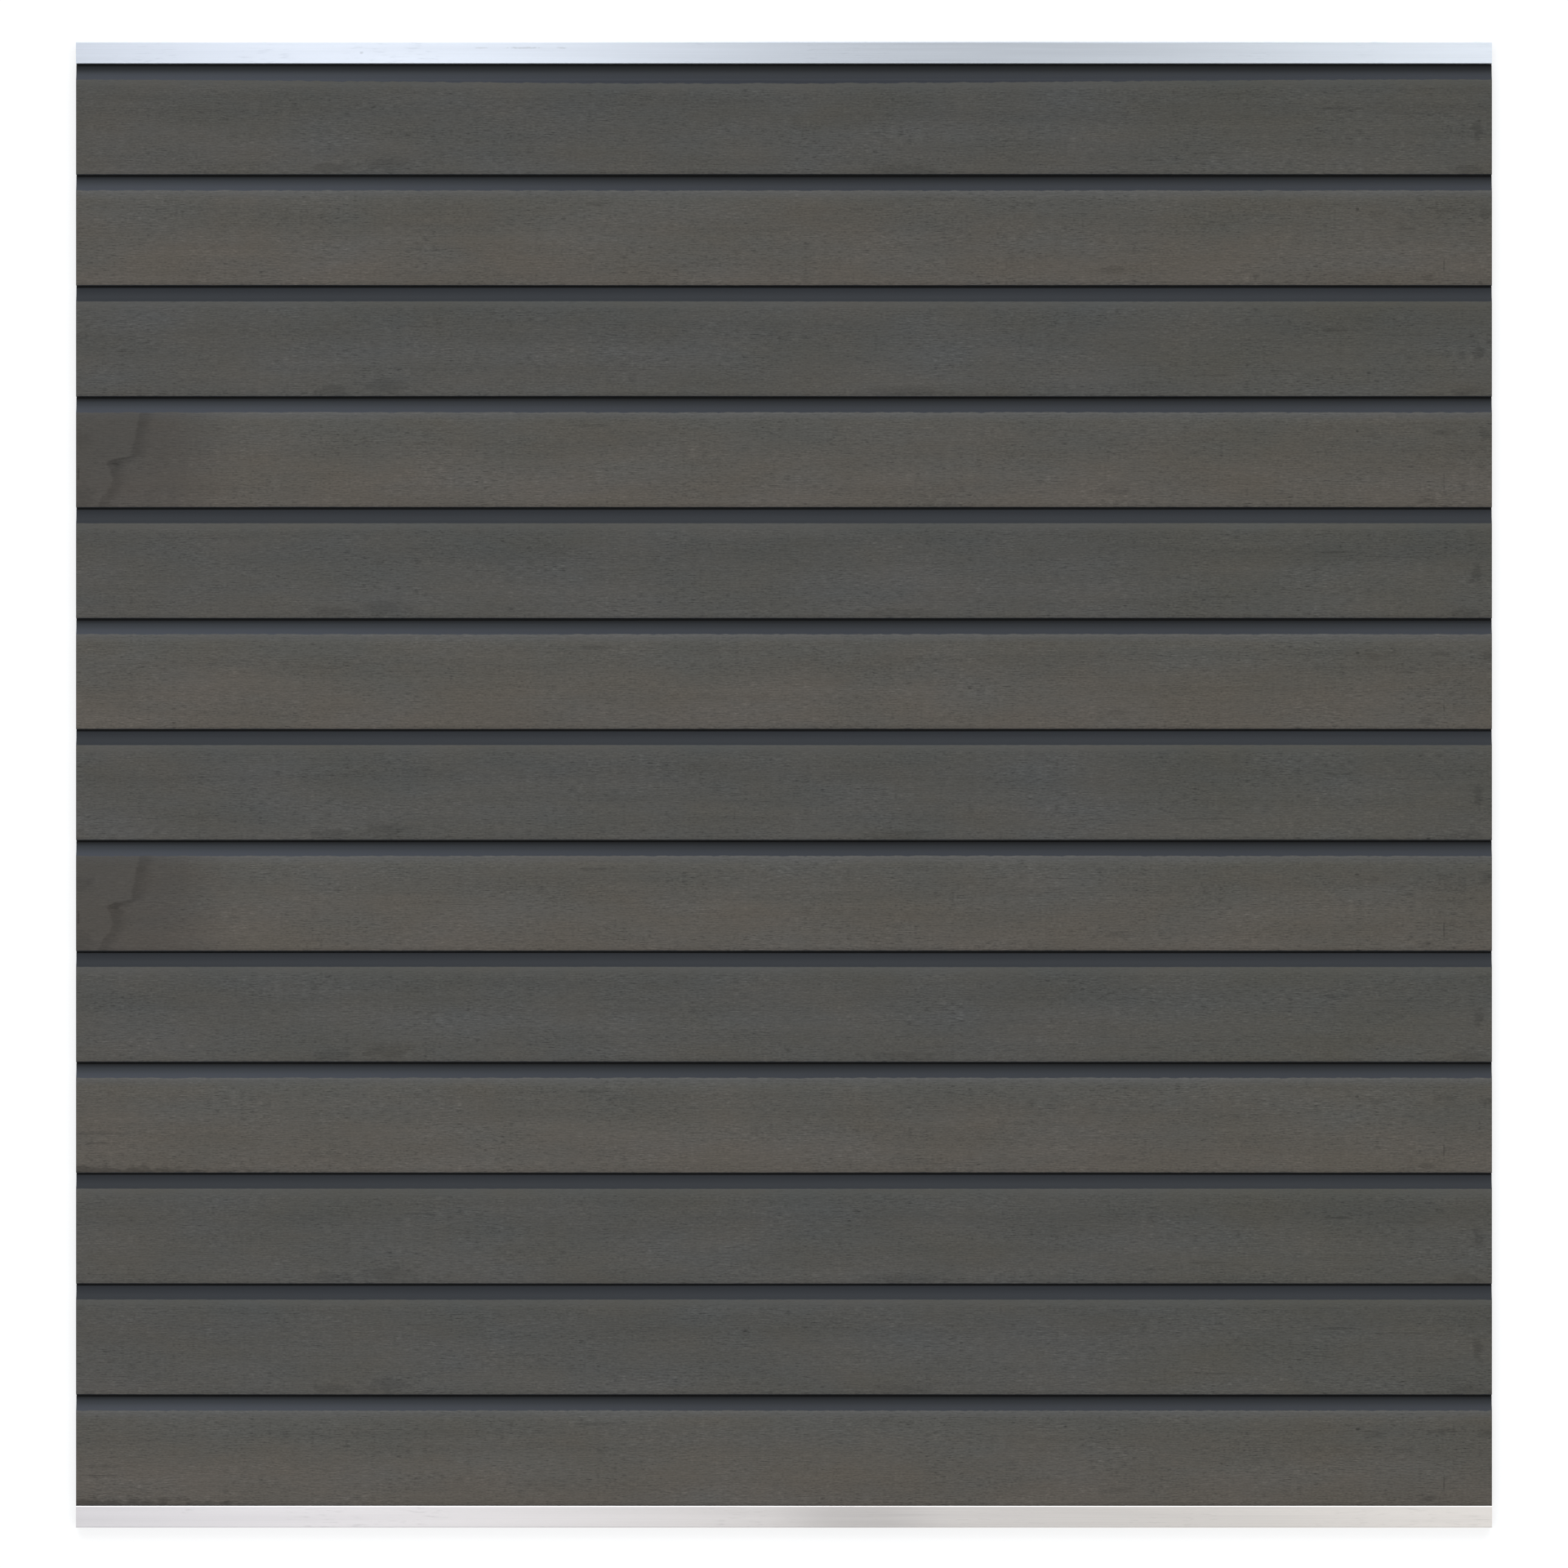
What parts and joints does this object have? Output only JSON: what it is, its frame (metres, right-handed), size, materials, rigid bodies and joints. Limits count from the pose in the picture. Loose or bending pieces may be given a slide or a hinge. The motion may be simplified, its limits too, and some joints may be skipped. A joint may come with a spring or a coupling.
{
  "type": "composite fence panel",
  "caption": "Privacy fence panel of interlocking hollow composite boards, brushed grey faces with smooth dark shoulders, held between slim aluminium start and end rails.",
  "frame": {"origin": "middle of the panel's footprint on the floor, where it lies on its back", "axes": "+X along the boards, +Y up the fence as it stands in use, +Z out of its front"},
  "size_m": [1.8, 1.889, 0.024],
  "materials": {
    "board_grey": "wood-plastic composite, brushed matte, cool grey",
    "board_taupe": "wood-plastic composite, brushed matte, warm grey",
    "rail_aluminium": "satin anodised, drawn lengthways"
  },
  "bodies": {
    "root": {"board_01": "board_taupe", "board_02": "board_grey", "board_03": "board_grey", "board_04": "board_taupe", "board_05": "board_grey", "board_06": "board_taupe", "board_07": "board_grey", "board_08": "board_taupe", "board_09": "board_grey", "board_10": "board_taupe", "board_11": "board_grey", "board_12": "board_taupe", "board_13": "board_grey", "bottom_rail": "rail_aluminium", "top_rail": "rail_aluminium"}
  },
  "joints": []
}
